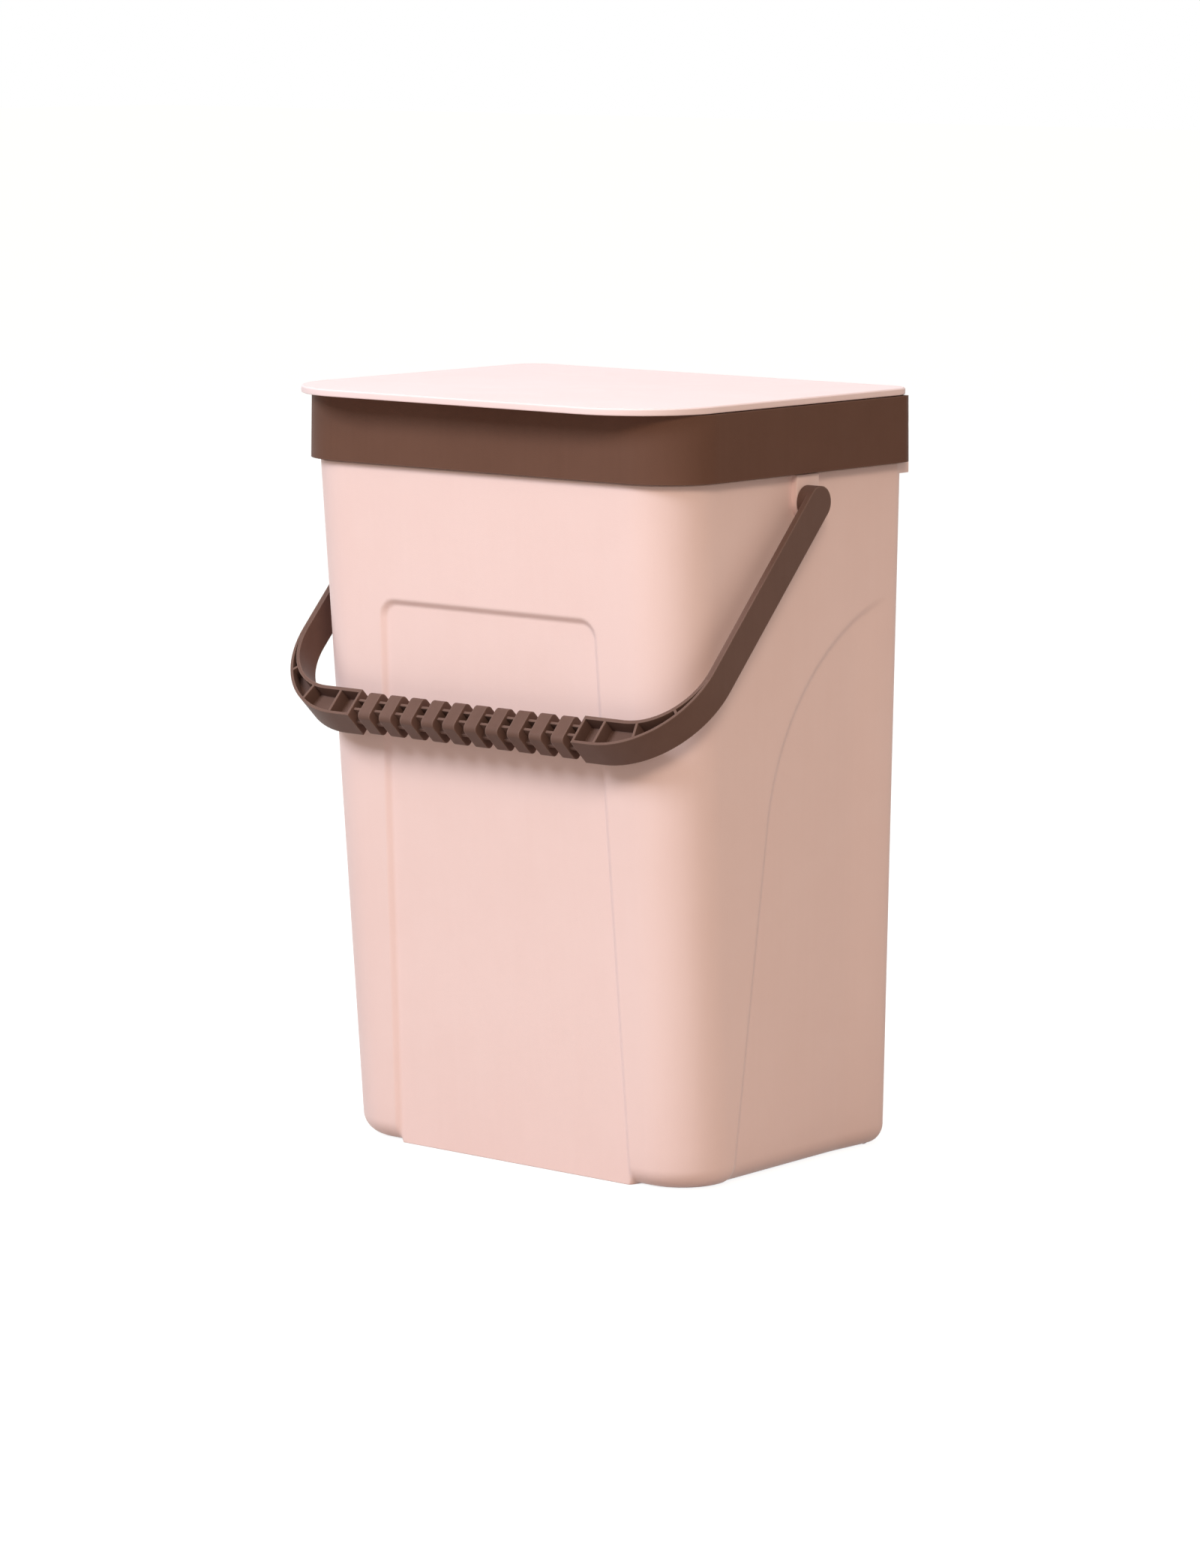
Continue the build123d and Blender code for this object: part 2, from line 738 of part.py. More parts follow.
fasteners = {}
for side, word in ((-1, "left"), (1, "right")):
    fasteners[f"wall_screw_{word}"] = wall_screw(side * screw_spacing / 2)
    fasteners[f"wall_plug_{word}"] = wall_plug(side * screw_spacing / 2)

os.makedirs("parts", exist_ok=True)
export_step(bucket.part, "parts/bucket.step")
export_step(handle.part, "parts/handle.step")
export_step(lid_frame.part, "parts/lid_frame.step")
export_step(lid.part, "parts/lid.step")
export_step(wall_bracket.part, "parts/wall_bracket.step")
for name, piece in fasteners.items():
    piece.label = name
    export_step(piece, f"parts/{name}.step")
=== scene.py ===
"""Wall-hung kitchen bin, dressed for its photograph: pale pink moulded bucket and lid, dark brown
collar and carrying handle, and the bracket with its screws that it hangs on.

Metres, +Z up. The wall is the plane y = 0 and the bin stands out from it along -Y.
"""

import json
from math import cos, pi, radians, sin

import bmesh
import bpy
import numpy as np
from mathutils import Matrix, Vector


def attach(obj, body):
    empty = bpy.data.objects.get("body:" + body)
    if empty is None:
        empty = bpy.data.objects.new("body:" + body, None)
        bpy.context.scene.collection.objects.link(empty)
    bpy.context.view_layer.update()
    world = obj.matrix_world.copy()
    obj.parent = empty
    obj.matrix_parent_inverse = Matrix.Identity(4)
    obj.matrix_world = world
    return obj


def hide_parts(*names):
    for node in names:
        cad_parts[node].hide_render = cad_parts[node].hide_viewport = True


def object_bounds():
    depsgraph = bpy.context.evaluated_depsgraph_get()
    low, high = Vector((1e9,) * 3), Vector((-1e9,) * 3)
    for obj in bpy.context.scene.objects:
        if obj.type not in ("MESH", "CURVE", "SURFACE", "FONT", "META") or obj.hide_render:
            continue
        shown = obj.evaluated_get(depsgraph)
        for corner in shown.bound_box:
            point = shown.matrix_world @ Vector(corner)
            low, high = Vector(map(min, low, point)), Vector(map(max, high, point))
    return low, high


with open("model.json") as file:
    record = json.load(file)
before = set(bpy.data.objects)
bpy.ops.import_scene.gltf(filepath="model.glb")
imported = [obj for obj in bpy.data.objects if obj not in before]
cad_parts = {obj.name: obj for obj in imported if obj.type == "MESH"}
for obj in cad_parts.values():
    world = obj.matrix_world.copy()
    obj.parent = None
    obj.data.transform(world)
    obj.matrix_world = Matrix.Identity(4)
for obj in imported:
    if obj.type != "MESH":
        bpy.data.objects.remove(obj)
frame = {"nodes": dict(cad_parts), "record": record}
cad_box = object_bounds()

scene = bpy.context.scene
body_of_node = {
    node: body
    for body, members in frame["record"]["behaviour"]["bodies"].items()
    for node in members
}


# Shader maths
class Value:
    """A number given by a node's output, on which arithmetic adds Math nodes."""

    def __init__(self, finish, socket):
        self.finish = finish
        self.socket = socket

    def maths(self, operation, *terms):
        settings = {"operation": operation}
        return self.finish.node("ShaderNodeMath", settings, dict(enumerate(terms)))

    def __add__(self, other):
        return self.maths("ADD", self, other)

    __radd__ = __add__

    def __sub__(self, other):
        return self.maths("SUBTRACT", self, other)

    def __rsub__(self, other):
        return self.maths("SUBTRACT", other, self)

    def __mul__(self, other):
        return self.maths("MULTIPLY", self, other)

    __rmul__ = __mul__

    def between(self, low, high, start=0.0, end=1.0):
        """The number carried smoothly from start, where it is low, to end, where it is high."""
        settings = {"interpolation_type": "SMOOTHSTEP"}
        inputs = {"Value": self, "From Min": low, "From Max": high, "To Min": start, "To Max": end}
        return self.finish.node("ShaderNodeMapRange", settings, inputs)


class Finish:
    """A material: its shader's constant numbers, and the nodes that vary over the surface."""

    def __init__(self, name, **constants):
        self.material = bpy.data.materials.new(name)
        self.material.use_nodes = True
        self.tree = self.material.node_tree
        self.shader = self.tree.nodes["Principled BSDF"]
        for word, number in constants.items():
            self.shader.inputs[word.replace("_", " ")].default_value = number

    def node(self, kind, settings=None, inputs=None, output=0):
        """A new node of a kind: its settings go in first, then its inputs' values or links."""
        made = self.tree.nodes.new(kind)
        for word, setting in (settings or {}).items():
            setattr(made, word, setting)
        for word, given in (inputs or {}).items():
            if isinstance(given, Value):
                self.tree.links.new(given.socket, made.inputs[word])
            else:
                made.inputs[word].default_value = given
        return Value(self, made.outputs[output])

    def place(self, scale=(1.0, 1.0, 1.0)):
        """Object coordinates in metres, stretched by a scale along each axis."""
        point = self.node("ShaderNodeTexCoord", output="Object")
        return self.node("ShaderNodeMapping", None, {"Vector": point, "Scale": scale})

    def noise(self, scale, detail=2.0, stretch=(1.0, 1.0, 1.0), roughness=0.5):
        """Soft noise from about 0 to 1 with so many features to the metre."""
        inputs = {
            "Vector": self.place(stretch),
            "Scale": scale,
            "Detail": detail,
            "Roughness": roughness,
        }
        return self.node("ShaderNodeTexNoise", None, inputs)

    def blend_colours(self, share, first, second):
        """First colour where share is 0, second where it is 1."""
        settings = {"data_type": "RGBA"}
        inputs = {0: share, 6: first, 7: second}
        return self.node("ShaderNodeMix", settings, inputs, output=2)

    def bump(self, height, distance, normal):
        """Normal of a surface raised by height times a distance in metres."""
        inputs = {"Height": height, "Distance": distance, "Strength": 1.0, "Normal": normal}
        return self.node("ShaderNodeBump", None, inputs)

    def give(self, **links):
        """Feeds the shader's inputs."""
        for word, value in links.items():
            self.tree.links.new(value.socket, self.shader.inputs[word.replace("_", " ")])
        return self.material


edge_highlight_reach = 0.0008  # how far in from an outer edge its painted highlight band runs


def moulded_plastic(
    name, pale, deep, rough=0.46, grain=0.00004, edge=0.0006, gloss=0.28, edge_highlight=None
):
    """Fine matte moulded plastic: faint drift of tone, drag marks up the draw of the mould, an
    even spark-eroded grain, edges rounded by the mould, and where a colour is given for them,
    outer edges painted paler as a highlight."""
    finish = Finish(name, IOR=1.49, Specular_IOR_Level=gloss)
    drift = finish.noise(9.0, 3.0)
    drag = finish.noise(260.0, 2.0, (1.0, 1.0, 0.02))
    cloud = finish.noise(55.0, 4.0)
    share = (drift * 0.6 + drag * 0.15 + cloud * 0.25).between(0.3, 0.7)
    colour = finish.blend_colours(share, pale, deep)
    if edge_highlight is not None:
        # painted highlight: rays sent into the piece come out again only close to an outer edge,
        # and there the colour is blended paler
        settings = {"inside": True, "only_local": True, "samples": 4}
        reach = {"Distance": edge_highlight_reach}
        depth = finish.node("ShaderNodeAmbientOcclusion", settings, reach, "AO")
        highlight_share = (1.0 - depth).between(0.1, 0.5, 0.0, 0.6)
        colour = finish.blend_colours(highlight_share, colour, edge_highlight)
    fine = finish.noise(2600.0, 1.0)
    polished = finish.noise(30.0, 5.0, roughness=0.62).between(0.45, 0.75)
    roughness = rough + 0.07 * (fine - 0.5) - 0.07 * polished
    rounded = finish.node("ShaderNodeBevel", {"samples": 6}, {"Radius": edge})
    normal = finish.bump(fine + 0.35 * drag, grain, rounded)
    return finish.give(Base_Color=colour, Roughness=roughness, Normal=normal)


def plated_steel(name):
    """Zinc plate: pale grey metal with a faint passivated sheen and turning marks."""
    finish = Finish(name, Metallic=1.0)
    spangle = finish.noise(900.0, 3.0)
    share = spangle.between(0.3, 0.7)
    tint = finish.blend_colours(share, (0.62, 0.62, 0.6, 1), (0.76, 0.74, 0.66, 1))
    turned = finish.noise(3000.0, 1.0, (1.0, 4.0, 1.0))
    rounded = finish.node("ShaderNodeBevel", {"samples": 6}, {"Radius": 0.0002})
    normal = finish.bump(turned, 0.00002, rounded)
    return finish.give(Base_Color=tint, Roughness=0.3 + 0.2 * spangle, Normal=normal)


bucket_pink = moulded_plastic("bucket_pink", (0.895, 0.685, 0.68, 1), (0.87, 0.655, 0.645, 1))
lid_pink = moulded_plastic("lid_pink", (0.92, 0.745, 0.775, 1), (0.90, 0.715, 0.735, 1), 0.42)
collar_brown = moulded_plastic(
    "collar_brown",
    (0.146, 0.074, 0.054, 1),
    (0.127, 0.063, 0.045, 1),
    0.52,
    gloss=0.07,
    # outer edges painted paler as a highlight
    edge_highlight=(0.22, 0.13, 0.105, 1),
)
handle_brown = moulded_plastic(
    "handle_brown",
    (0.158, 0.092, 0.077, 1),
    (0.128, 0.072, 0.059, 1),
    0.5,
    gloss=0.1,
    # outer edges painted paler as a highlight
    edge_highlight=(0.26, 0.17, 0.145, 1),
)
bracket_pink = moulded_plastic("bracket_pink", (0.88, 0.67, 0.66, 1), (0.85, 0.64, 0.63, 1), 0.5)
plug_grey = moulded_plastic("plug_grey", (0.30, 0.30, 0.30, 1), (0.25, 0.25, 0.25, 1), 0.55)
screw_zinc = plated_steel("screw_zinc")

finish_of_slot = {
    "bucket": bucket_pink,
    "lid": lid_pink,
    "lid_frame": collar_brown,
    "handle": handle_brown,
    "bracket": bracket_pink,
    "screw": screw_zinc,
    "plug": plug_grey,
}
slot_of_node = {
    "bucket": "bucket",
    "lid": "lid",
    "lid_frame": "lid_frame",
    "handle": "handle",
    "wall_bracket": "bracket",
    "wall_screw_left": "screw",
    "wall_screw_right": "screw",
    "wall_plug_left": "plug",
    "wall_plug_right": "plug",
}


def dress(piece, material):
    piece.data.materials.clear()
    piece.data.materials.append(material)


for node, slot in slot_of_node.items():
    dress(frame["nodes"][node], finish_of_slot[slot])


# Moulded pieces
def settled(piece):
    """The piece's modifiers worked into its mesh."""
    bpy.context.view_layer.update()
    ready = piece.evaluated_get(bpy.context.evaluated_depsgraph_get())
    mesh = bpy.data.meshes.new_from_object(ready)
    piece.modifiers.clear()
    piece.data = mesh
    return piece


def rounded(piece, width, limit="ANGLE"):
    """The piece with its edges rounded: those over 30 degrees, or with WEIGHT the marked ones."""
    bevel = piece.modifiers.new("rounded", "BEVEL")
    bevel.width = width
    bevel.segments = 2
    bevel.limit_method = limit
    bevel.angle_limit = radians(30.0)
    return settled(piece)


def finished(piece, body, node, crease):
    """Shades the piece smooth but for edges over crease, and puts it in its CAD node's place."""
    piece.data.shade_smooth()
    piece.data.set_sharp_from_angle(angle=radians(crease))
    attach(piece, body)
    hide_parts(node)
    dress(piece, finish_of_slot[slot_of_node[node]])


merge_distance = 0.000002
flat_angle = 0.4  # faces that meet under this angle, in degrees, become one


def joined(node, width, angle=50.0):
    """A copy of a CAD node, its loose triangles joined into whole faces and its outer edges over
    an angle rounded."""
    source = frame["nodes"][node].data
    mesh = bpy.data.meshes.new(f"{node}_moulded")
    points = np.empty(len(source.vertices) * 3)
    source.vertices.foreach_get("co", points)
    corners = np.empty(len(source.loops), dtype=int)
    source.loops.foreach_get("vertex_index", corners)
    mesh.from_pydata(points.reshape(-1, 3), [], corners.reshape(-1, 3))
    shape = bmesh.new()
    shape.from_mesh(mesh)
    bmesh.ops.remove_doubles(shape, verts=shape.verts, dist=merge_distance)
    bmesh.ops.dissolve_limit(
        shape,
        angle_limit=radians(flat_angle),
        verts=shape.verts,
        edges=shape.edges,
        use_dissolve_boundaries=False,
    )
    # filling the inner edges would close the hinge's clearances, so they stay as they are
    outer = shape.edges.layers.float.new("bevel_weight_edge")
    for edge in shape.edges:
        if edge.is_manifold and edge.is_convex and edge.calc_face_angle() > radians(angle):
            edge[outer] = 1.0
    shape.to_mesh(mesh)
    shape.free()
    piece = bpy.data.objects.new(f"{node}_moulded", mesh)
    scene.collection.objects.link(piece)
    rounded(piece, width, "WEIGHT")
    finished(piece, body_of_node[node], node, 35.0)
    weighted = piece.modifiers.new("weighted", "WEIGHTED_NORMAL")
    weighted.keep_sharp = True


joined("handle", 0.00035)
joined("lid_frame", 0.0005)
joined("lid", 0.0005, 60.0)
joined("wall_bracket", 0.0004)


# Bucket: one closed shell of stacked rings, with its panels pressed into the walls
bucket_bottom = -0.322
body_height = 0.3144
neck_base = bucket_bottom + body_height
rim_top = neck_base + 0.0201
bottom_half_width = 0.10375
bottom_depth = 0.1455
side_widening = 0.0054  # of each side, from the foot to the neck
front_widening = 0.0223
side_lean = side_widening / body_height
front_lean = front_widening / body_height
bucket_rear = -0.0101
front_round = 0.027
rear_round = 0.007
foot_round = 0.0095
wall = 0.0022
floor_thick = 0.003
front_panel_depth = 0.002
front_panel_top = 0.254
front_panel_corner = 0.009
front_panel_half_foot = 0.070
front_panel_taper = 0.00699  # of each side, from the foot to the panel's top
front_run_in = (-0.0003, 0.0033)  # from outside the panel's outline to inside it
side_panel_depth = 0.0017
side_run_in = (-0.0006, 0.0036)
side_fade = 0.03  # stretch ahead of the rear corner over which the side panel comes in

# The side panel's edge as (place behind the rear wall, height): a straight run up to the bend,
# then an arc that leaves it smoothly and ends behind the rear corner
side_foot = -0.1163
side_lean_back = 0.0195  # how far the straight run has gone back by the bend
side_bend_height = 0.160
side_bend = np.array((side_foot + side_lean_back, side_bend_height))
side_end = np.array((0.004, 0.258))


def smooth_step(low, high, x):
    """0 below low, 1 above high, and 3t^2 - 2t^3 of the share t of the way between them."""
    t = np.clip((x - low) / (high - low), 0.0, 1.0)
    return t * t * (3.0 - 2.0 * t)


def bent(share, knee, target):
    """A share of 0 to 1 bent in two straight runs, so that the knee lands on the target."""
    low = share * target / knee
    high = 1.0 - (1.0 - share) * (1.0 - target) / (1.0 - knee)
    return np.where(share <= knee, low, high)


def side_edge(height):
    """Place of the side panel's edge behind the rear wall, at a height up to the bend and held
    above it. It is negative, because the edge stands ahead of that wall."""
    return side_foot + side_lean_back * np.minimum(height, side_bend_height) / side_bend_height


def panel_half_width(height):
    """Half width of the front panel, narrower towards its top."""
    share = np.minimum(height, front_panel_top) / front_panel_top
    return front_panel_half_foot - front_panel_taper * share


# The columns of the shell, as shares along the runs of one half of the plan, from the middle of
# the rear wall round to the middle of the front wall. They stand close together at a knee, which
# is carried to the edge of a panel.
rear_columns = np.linspace(0.0, 1.0, 7)[:-1]
rear_turn = np.linspace(0.0, 1.0, 9)[:-1] * pi / 2
side_knee = 0.7222
side_columns = np.concatenate(
    (
        np.linspace(0.0, side_knee - 0.034, 88)[:-1],
        np.linspace(side_knee - 0.034, side_knee + 0.008, 10)[:-1],
        np.linspace(side_knee + 0.008, 1.0, 26)[:-1],
    )
)
front_turn = np.linspace(0.0, 1.0, 17)[:-1] * pi / 2
front_knee = 0.2
front_columns = np.concatenate(
    (
        np.linspace(0.0, front_knee - 0.012, 4)[:-1],
        np.linspace(front_knee - 0.012, front_knee + 0.054, 12)[:-1],
        np.linspace(front_knee + 0.054, front_knee + 0.18, 11)[:-1],
        np.linspace(front_knee + 0.18, 1.0, 7),
    )
)
first_front = len(rear_columns) + len(rear_turn) + len(side_columns) + len(front_turn)


def on_columns(rear_wall, rear_corner, side_wall, front_corner, front_wall):
    """One number for every column of a half plan, given run by run. A single number stands for
    all the columns of its run."""
    runs = (rear_columns, rear_turn, side_columns, front_turn, front_columns)
    given = (rear_wall, rear_corner, side_wall, front_corner, front_wall)
    return np.concatenate(
        [np.broadcast_to(np.asarray(value, float), len(run)) for run, value in zip(runs, given)]
    )


# The plan's normal in each column, pointing inwards
inward_x = on_columns(0.0, -np.sin(rear_turn), -1.0, -np.cos(front_turn), 0.0)
inward_y = on_columns(-1.0, -np.cos(rear_turn), 0.0, np.sin(front_turn), 1.0)


def past_side_edge(y, height):
    """How far points of the side wall lie past the side panel's edge, on the panel's side.

    Below the bend it is the distance from a straight line, and above it the distance inside a
    circle that touches the line at the bend and passes through the edge's end.
    """
    points = np.stack((y - bucket_rear, np.full(len(y), height)))
    along = np.array((side_lean_back, side_bend_height))
    along = along / np.hypot(*along)
    inward = np.array((along[1], -along[0]))
    reach = side_end - side_bend
    radius = reach @ reach / (2 * reach @ inward)
    centre = side_bend + radius * inward
    from_bend = points - side_bend[:, None]
    return np.where(
        along @ from_bend < 0,
        inward @ from_bend,
        radius - np.hypot(*(points - centre[:, None])),
    )


def past_front_edge(x, height, grown):
    """How far points of the front wall lie inside the front panel's outline, grown by a length:
    the smaller distance from its side and its top, or inside the round at its corner."""
    beside = panel_half_width(height) - x + grown
    below = front_panel_top + grown - height
    corner = front_panel_corner + grown
    from_centre = np.hypot(np.maximum(corner - beside, 0), max(corner - below, 0))
    return np.where(
        (beside < corner) & (below < corner), corner - from_centre, np.minimum(beside, below)
    )


def half_plan(height, inset, grown, foot_inset, front_foot=1.0):
    """Points of the right half of a level of the bucket's wall.

    The plan is a rounded rectangle, drawn in by inset. Inside the panels' outlines, grown by a
    length on the wall's inner face, the wall is carried in by the panel's depth times a smooth
    step of the distance past the outline. At the foot the whole plan is drawn in by foot_inset
    along its own normal, but for the front panel, which takes only the share front_foot of it.
    """
    half = bottom_half_width + side_lean * height - inset
    front = bucket_rear - bottom_depth - front_lean * height + inset
    rear = bucket_rear - inset
    big = front_round - inset
    small = rear_round - inset
    rear_end, front_end = rear - small, front + big

    share = (rear_end - (bucket_rear + side_edge(height))) / (rear_end - front_end)
    y = on_columns(
        rear,
        rear - small * (1 - np.cos(rear_turn)),
        rear_end + (front_end - rear_end) * bent(side_columns, side_knee, share),
        front_end - big * np.sin(front_turn),
        front,
    )
    share = 1.0 - panel_half_width(height) / (half - big)
    x = on_columns(
        (half - small) * rear_columns,
        half - small + small * np.sin(rear_turn),
        half,
        half - big * (1 - np.cos(front_turn)),
        (half - big) * (1 - bent(front_columns, front_knee, share)),
    )

    # the side panel, which fades out towards the rear corner
    pressed = smooth_step(*side_run_in, past_side_edge(y, height) + grown)
    ahead = smooth_step(0.0, 1.0, np.clip((rear_end - y) / side_fade, 0.0, 1.0))
    beside_front = np.arange(len(x)) < first_front
    x = x - np.where(beside_front, side_panel_depth * pressed * ahead, 0.0)

    # the front panel and the foot
    front_x = x[first_front:]
    pressed = smooth_step(*front_run_in, past_front_edge(front_x, height, grown))
    draw = np.full(len(x), foot_inset)
    draw[first_front:] = (1 - pressed) * foot_inset + pressed * np.maximum(
        front_panel_depth, foot_inset * front_foot
    )
    return np.stack((x + inward_x * draw, y + inward_y * draw), axis=1)


def whole_plan(half):
    """A half plan and its mirror image, joined in the middles of the rear and front walls."""
    other = half[-2:0:-1] * (-1.0, 1.0)
    return np.concatenate((half, other))


def level(plan, z):
    """A plan laid at one height."""
    return np.column_stack((plan, np.full(len(plan), z)))


def wall_ring(height, *shape):
    """A level of the bucket's wall at a height above its underside, shaped as in half_plan."""
    return level(whole_plan(half_plan(height, *shape)), bucket_bottom + height)


def plain_plan(half, front, rear, big, small):
    """Rounded rectangle with the shell's columns and no panels."""
    x = on_columns(
        (half - small) * rear_columns,
        half - small + small * np.sin(rear_turn),
        half,
        half - big * (1 - np.cos(front_turn)),
        (half - big) * (1 - front_columns),
    )
    y = on_columns(
        rear,
        rear - small * (1 - np.cos(rear_turn)),
        rear - small + (front + big - rear + small) * side_columns,
        front + big - big * np.sin(front_turn),
        front,
    )
    return whole_plan(np.stack((x, y), axis=1))


def ring_shell(name, rings):
    """Closed surface through rings of equal count, quads between them, a flat cap at each end."""
    count = len(rings[0])
    rows = len(rings)
    points = np.concatenate(rings)
    here = np.arange(rows * count).reshape(rows, count)
    nearer, farther = here[:-1], here[1:]
    quads = np.stack(
        (nearer, farther, np.roll(farther, -1, 1), np.roll(nearer, -1, 1)), axis=2
    ).reshape(-1, 4)
    faces = quads.tolist() + [here[0].tolist(), here[-1][::-1].tolist()]
    mesh = bpy.data.meshes.new(name)
    mesh.from_pydata(points, [], faces)
    mesh.update()
    piece = bpy.data.objects.new(name, mesh)
    scene.collection.objects.link(piece)
    return piece


body_top_half = bottom_half_width + side_widening
neck_front = bucket_rear - bottom_depth - front_widening
neck_rear = bucket_rear - 0.0013


def neck_plan(inset):
    """A level of the neck, drawn in by inset."""
    return plain_plan(
        body_top_half - inset,
        neck_front + inset,
        neck_rear - inset,
        front_round - inset,
        rear_round - inset,
    )


def foot_levels(radius, steps):
    """Heights and insets of a quarter round, from its flat end up to the wall."""
    turn = np.linspace(0.0, pi / 2, steps)
    return radius * (1 - np.cos(turn)), radius * (1 - np.sin(turn))


# The hollow inside the ring that the bucket stands on, then the foot and the wall
foot_ring = 0.014
foot_hollow = 0.0012
hollow = plain_plan(
    bottom_half_width - foot_ring,
    bucket_rear - bottom_depth + foot_ring,
    bucket_rear - foot_ring,
    front_round - foot_ring,
    rear_round,
)
rings = [level(hollow, bucket_bottom + foot_hollow), level(hollow, bucket_bottom)]
for height, drawn in zip(*foot_levels(foot_round, 10)):
    rings.append(wall_ring(height, 0.0, 0.0, drawn, 0.0))
arch_foot, arch_head, arch_end = 0.150, 0.249, 0.2585  # levels stand closer over the arches
heights = np.concatenate(
    (
        np.linspace(foot_round, arch_foot, 18)[1:-1],
        np.arange(arch_foot, arch_head, 0.001),
        np.arange(arch_head, arch_end, 0.0006),
        np.linspace(arch_end, body_height - 0.0004, 8),
    )
)
for height in heights:
    rings.append(wall_ring(height, 0.0, 0.0, 0.0))
rings.append(wall_ring(body_height, 0.0003, 0.0, 0.0))

# The neck as insets and heights: up from its step, over the rounded rim and down inside
neck_section = (
    (0.0004, neck_base + 0.0001),
    (0.0004, rim_top - 0.0008),
    (0.0007, rim_top - 0.0002),
    (0.0012, rim_top),
    (0.0017, rim_top),
    (0.0022, rim_top - 0.0003),
    (0.0024, rim_top - 0.0009),
    (0.0024, neck_base - 0.002),
)
for inset, height in neck_section:
    rings.append(level(neck_plan(inset), height))

# The inside of the wall, with fewer levels, and its foot down to the floor
inner_foot = foot_round - wall
heights = np.concatenate(
    (
        np.linspace(body_height - 0.0022, 0.262, 5),
        np.arange(0.260, arch_foot, -0.003),
        np.linspace(arch_foot, floor_thick + inner_foot, 12),
    )
)
for height in heights:
    rings.append(wall_ring(height, wall, wall, 0.0))
for height, drawn in list(zip(*foot_levels(inner_foot, 7)))[-2::-1]:
    rings.append(wall_ring(height + floor_thick, wall, wall, drawn))
shell = ring_shell("bucket_shell", rings)


# What is moulded onto the shell
def prism(name, outline, start, end):
    """A flat outline of (y, z) points carried straight along x from start to end."""
    count = len(outline)
    points = np.concatenate([np.column_stack((np.full(count, x), outline)) for x in (start, end)])
    near = np.arange(count)
    far = near + count
    sides = np.stack((near, far, np.roll(far, -1), np.roll(near, -1)), axis=1)
    faces = [near.tolist(), far[::-1].tolist()] + sides.tolist()
    mesh = bpy.data.meshes.new(name)
    mesh.from_pydata(points, [], faces)
    shape = bmesh.new()
    shape.from_mesh(mesh)
    bmesh.ops.recalc_face_normals(shape, faces=shape.faces)
    shape.to_mesh(mesh)
    shape.free()
    piece = bpy.data.objects.new(name, mesh)
    scene.collection.objects.link(piece)
    return piece


def combined(piece, tool, operation):
    """Adds the tool to the piece or cuts it out of it. The tool is used up."""
    step = piece.modifiers.new("step", "BOOLEAN")
    step.operation = operation
    step.solver = "EXACT"
    step.object = tool
    settled(piece)
    bpy.data.objects.remove(tool)


small_round = 0.0003
into_wall = 0.0011  # how far a moulded-on form starts inside the wall

# Hanging lip: a ledge behind the rear wall with a low edge, deeper in the middle
lip_back = bucket_rear + 0.0066
lip_front = bucket_rear + 0.0045
lip_foot = neck_base - 0.0051
ledge_foot = neck_base - 0.0022
lip_half_width = 0.1055
hook_foot = neck_base - 0.0144
hook_head = neck_base - 0.001
hook_half_width = 0.060
lip_profile = [
    (bucket_rear - into_wall, neck_base),
    (lip_back, neck_base),
    (lip_back, lip_foot),
    (lip_front, lip_foot),
    (lip_front, ledge_foot),
    (bucket_rear - into_wall, ledge_foot),
]
hook_profile = [
    (lip_back, hook_head),
    (lip_back, hook_foot),
    (lip_front, hook_foot),
    (lip_front, hook_head),
]
lip = rounded(prism("lip", lip_profile, -lip_half_width, lip_half_width), small_round)
hook = rounded(prism("hook", hook_profile, -hook_half_width, hook_half_width), small_round)
combined(lip, hook, "UNION")
combined(shell, lip, "UNION")

# Blocks that close the lip's ends, flush with the sides
end_front = bucket_rear - 0.0043
end_back = bucket_rear + 0.0035
end_near, end_far = 0.1048, 0.1082
end_profile = [
    (end_front, neck_base),
    (end_back, neck_base),
    (end_back, lip_foot),
    (end_front, lip_foot),
]
for side in (-1, 1):
    block = prism("lip_end", end_profile, side * end_near, side * end_far)
    combined(shell, rounded(block, small_round), "UNION")


def arc(centre, radius, turn):
    """Points of (y, z) at a radius round a centre, at given turns."""
    return np.array(centre) + radius * np.column_stack((np.cos(turn), np.sin(turn)))


# Pads on the sides with the bores for the handle's pivots
pivot_y, pivot_z = bucket_rear - 0.0775, neck_base - 0.0122
pad_y = pivot_y + 0.0012
pad_radius = 0.008
pad_face = body_top_half + 0.00275
bore_radius = 0.00406
bore_near, bore_far = 0.095, 0.118
pad_profile = np.concatenate(
    (
        arc((pad_y, pivot_z), pad_radius, np.linspace(pi, 2 * pi, 25)),
        [(pad_y + pad_radius, neck_base), (pad_y - pad_radius, neck_base)],
    )
)
bore_profile = arc((pivot_y, pivot_z), bore_radius, np.linspace(0, 2 * pi, 49)[:-1])
for side in (-1, 1):
    pad = prism("pad", pad_profile, side * (body_top_half - into_wall), side * pad_face)
    combined(shell, rounded(pad, small_round), "UNION")
    bore = prism("bore", bore_profile, side * bore_near, side * bore_far)
    combined(shell, bore, "DIFFERENCE")
finished(shell, "bucket", "bucket", 32.0)


# Camera at the photograph's viewing angle
photo_height = 2091  # in pixels, in which the focal length and the shift were fitted
focal_length = 7031.5
azimuth, elevation, roll = radians(39.46556), radians(8.67416), radians(0.19147)
distance = 2.40202
aim = Vector((0.000216, -0.093822, -0.154833))
away = Vector((sin(azimuth) * cos(elevation), -cos(azimuth) * cos(elevation), sin(elevation)))
across = Vector((cos(azimuth), sin(azimuth), 0.0))
upward = away.cross(across)
across, upward = (
    across * cos(roll) + upward * sin(roll),
    upward * cos(roll) - across * sin(roll),
)
lens = bpy.data.cameras.new("camera")
lens.sensor_fit = "VERTICAL"
lens.sensor_height = 36.0
lens.lens = lens.sensor_height * focal_length / photo_height
lens.shift_y = -2.458 / photo_height
camera = bpy.data.objects.new("camera", lens)
facing = Matrix((across, upward, away)).transposed()
camera.matrix_world = Matrix.Translation(aim + away * distance) @ facing.to_4x4()
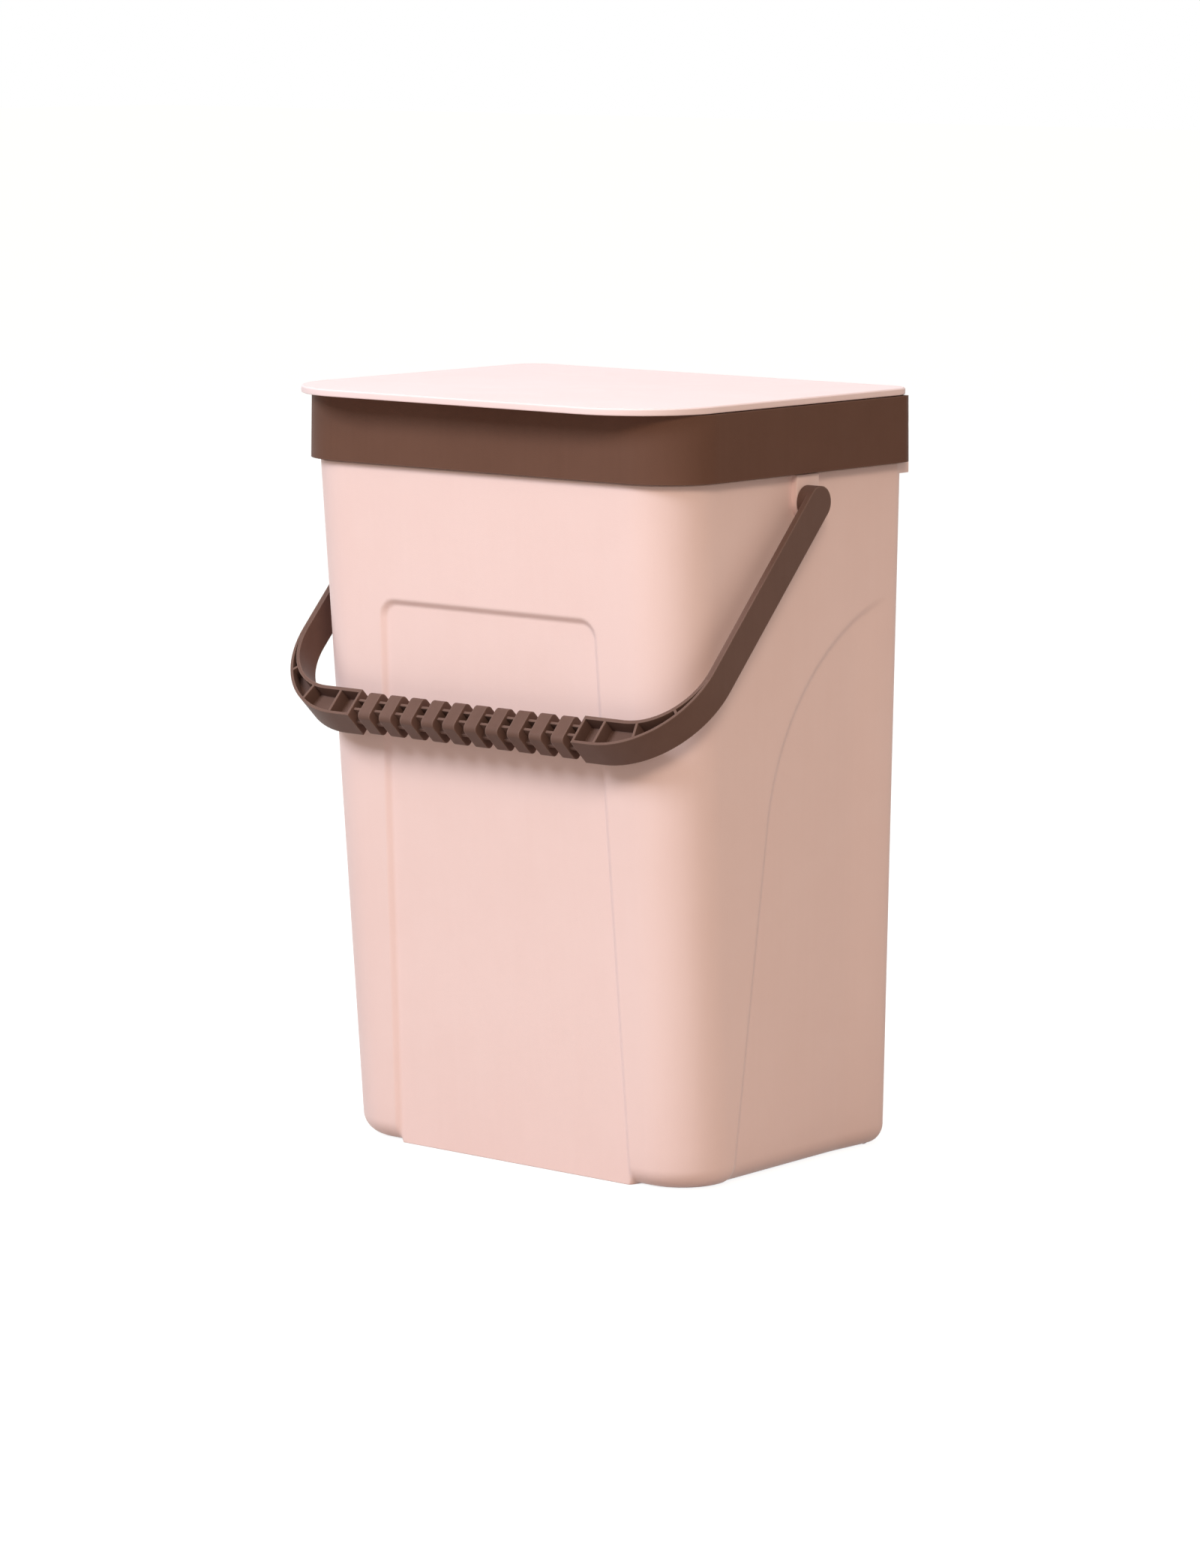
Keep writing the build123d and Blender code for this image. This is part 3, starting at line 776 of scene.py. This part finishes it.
scene.collection.objects.link(camera)
scene.camera = camera


# Studio
def softbox(name, place, target, size, power, colour):
    """Square soft light at a place, turned to a target."""
    lamp = bpy.data.lights.new(name, "AREA")
    lamp.shape = "SQUARE"
    lamp.size = size
    lamp.energy = power
    lamp.color = colour
    box = bpy.data.objects.new(name, lamp)
    box.location = place
    box.rotation_euler = (Vector(target) - Vector(place)).to_track_quat("-Z", "Y").to_euler()
    scene.collection.objects.link(box)


middle = (0.0, -0.09, -0.15)
softbox("key", (-0.62, -2.1, 1.45), middle, 0.9, 43.0, (0.87, 0.94, 1.0))
softbox("top", (0.1, -0.4, 2.2), middle, 1.2, 12.0, (0.9, 0.96, 1.0))
softbox("right", (1.85, -1.75, 1.5), middle, 0.7, 30.0, (1.0, 0.81, 0.62))


def seen(tree):
    """1 on rays from the camera, from a mirror-like bounce or through glass, 0 on others."""
    path = tree.nodes.new("ShaderNodeLightPath")
    total = path.outputs["Is Camera Ray"]
    for word in ("Is Glossy Ray", "Is Transmission Ray"):
        add = tree.nodes.new("ShaderNodeMath")
        add.operation = "MAXIMUM"
        tree.links.new(total, add.inputs[0])
        tree.links.new(path.outputs[word], add.inputs[1])
        total = add.outputs[0]
    return total


world = bpy.data.worlds.new("studio")
scene.world = world
world.use_nodes = True
sky = world.node_tree
ambient = sky.nodes["Background"]
ambient.inputs["Color"].default_value = (1.0, 0.9, 0.76, 1.0)
ambient.inputs["Strength"].default_value = 0.42
white = sky.nodes.new("ShaderNodeBackground")
white.inputs["Color"].default_value = (1.0, 1.0, 1.0, 1.0)
either = sky.nodes.new("ShaderNodeMixShader")
sky.links.new(seen(sky), either.inputs[0])
sky.links.new(ambient.outputs[0], either.inputs[1])
sky.links.new(white.outputs[0], either.inputs[2])
sky.links.new(either.outputs[0], sky.nodes["World Output"].inputs["Surface"])

# Floor: a warm matt grey in the light that it throws back, and near white with a soft shadow
# where the camera sees it
floor_mesh = bpy.data.meshes.new("floor")
floor_reach = 14.0
floor_height = cad_box[0][2] - 0.0002
corners = ((-1, -1), (1, -1), (1, 1), (-1, 1))
floor_mesh.from_pydata(
    [(floor_reach * x, floor_reach * y, floor_height) for x, y in corners], [], [(0, 1, 2, 3)]
)
floor = bpy.data.objects.new("floor", floor_mesh)
scene.collection.objects.link(floor)
pale = bpy.data.materials.new("pale_floor")
pale.use_nodes = True
tiles = pale.node_tree
tiles.nodes.remove(tiles.nodes["Principled BSDF"])
matt = tiles.nodes.new("ShaderNodeBsdfDiffuse")
matt.inputs["Color"].default_value = (0.43, 0.36, 0.31, 1.0)
shade = tiles.nodes.new("ShaderNodeBsdfDiffuse")
shade.inputs["Color"].default_value = (0.3, 0.3, 0.3, 1.0)
glow = tiles.nodes.new("ShaderNodeEmission")
glow.inputs["Color"].default_value = (1.0, 1.0, 1.0, 1.0)
glow.inputs["Strength"].default_value = 0.89
lit = tiles.nodes.new("ShaderNodeAddShader")
tiles.links.new(shade.outputs[0], lit.inputs[0])
tiles.links.new(glow.outputs[0], lit.inputs[1])
mixed = tiles.nodes.new("ShaderNodeMixShader")
tiles.links.new(seen(tiles), mixed.inputs[0])
tiles.links.new(matt.outputs[0], mixed.inputs[1])
tiles.links.new(lit.outputs[0], mixed.inputs[2])
tiles.links.new(mixed.outputs[0], tiles.nodes["Material Output"].inputs["Surface"])
floor_mesh.materials.append(pale)

scene.view_settings.view_transform = "Standard"
